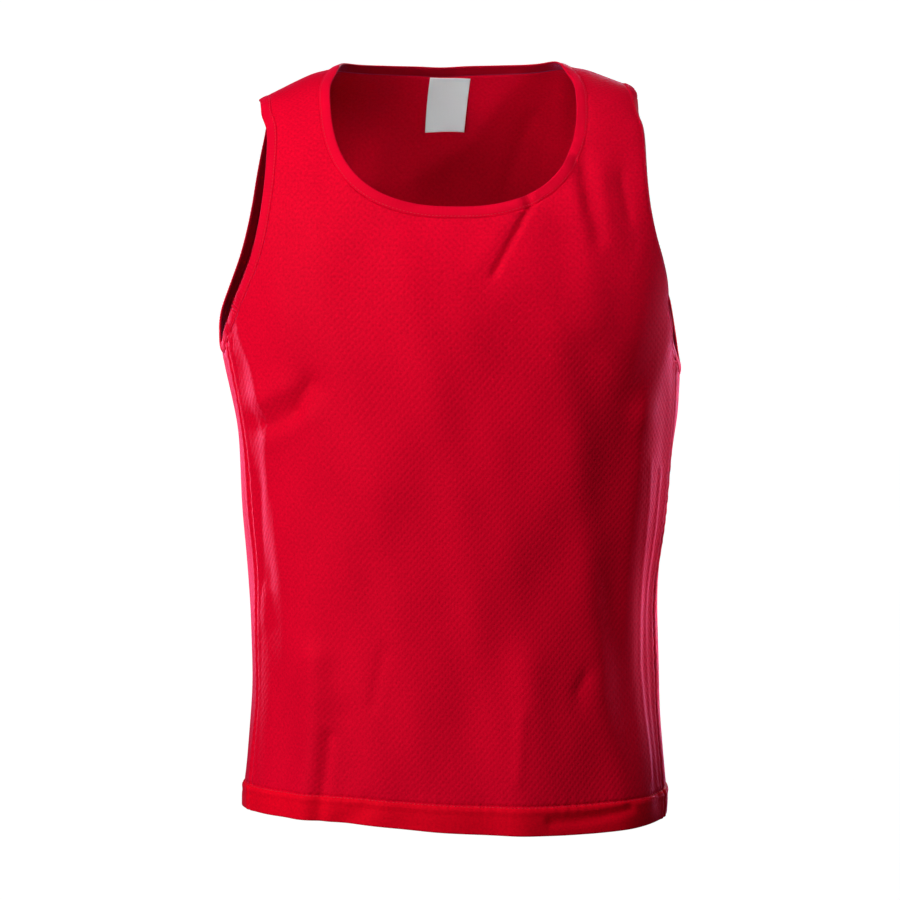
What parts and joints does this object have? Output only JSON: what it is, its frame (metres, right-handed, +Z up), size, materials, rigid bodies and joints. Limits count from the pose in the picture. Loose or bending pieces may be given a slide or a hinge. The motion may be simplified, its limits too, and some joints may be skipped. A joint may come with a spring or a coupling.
{
  "type": "training bib",
  "caption": "Sleeveless mesh training bib, filled out and hollow, with a scooped neck, bound neck and armholes, a turned-up hem and a blank neck label.",
  "frame": {"origin": "midway between the shoulders, level with the shoulder seams beside the neck, where the wearer holds the bib", "axes": "+Z up, out of the neck; -Y to the front; +X to the right as seen from the front (the wearer's left)"},
  "size_m": [0.4031, 0.2439, 0.6607],
  "materials": {
    "mesh_cloth": "light red polyester micro-mesh knit with small staggered pinholes, soft sheen",
    "binding_cloth": "plain red knitted tape, folded and stitched, a little brighter than the mesh",
    "label_cloth": "blank pale grey woven satin label"
  },
  "bodies": {
    "root": {"front": "mesh_cloth", "back": "mesh_cloth", "neck_binding": "binding_cloth", "armhole_binding_left": "binding_cloth", "armhole_binding_right": "binding_cloth", "label": "label_cloth"}
  },
  "joints": []
}
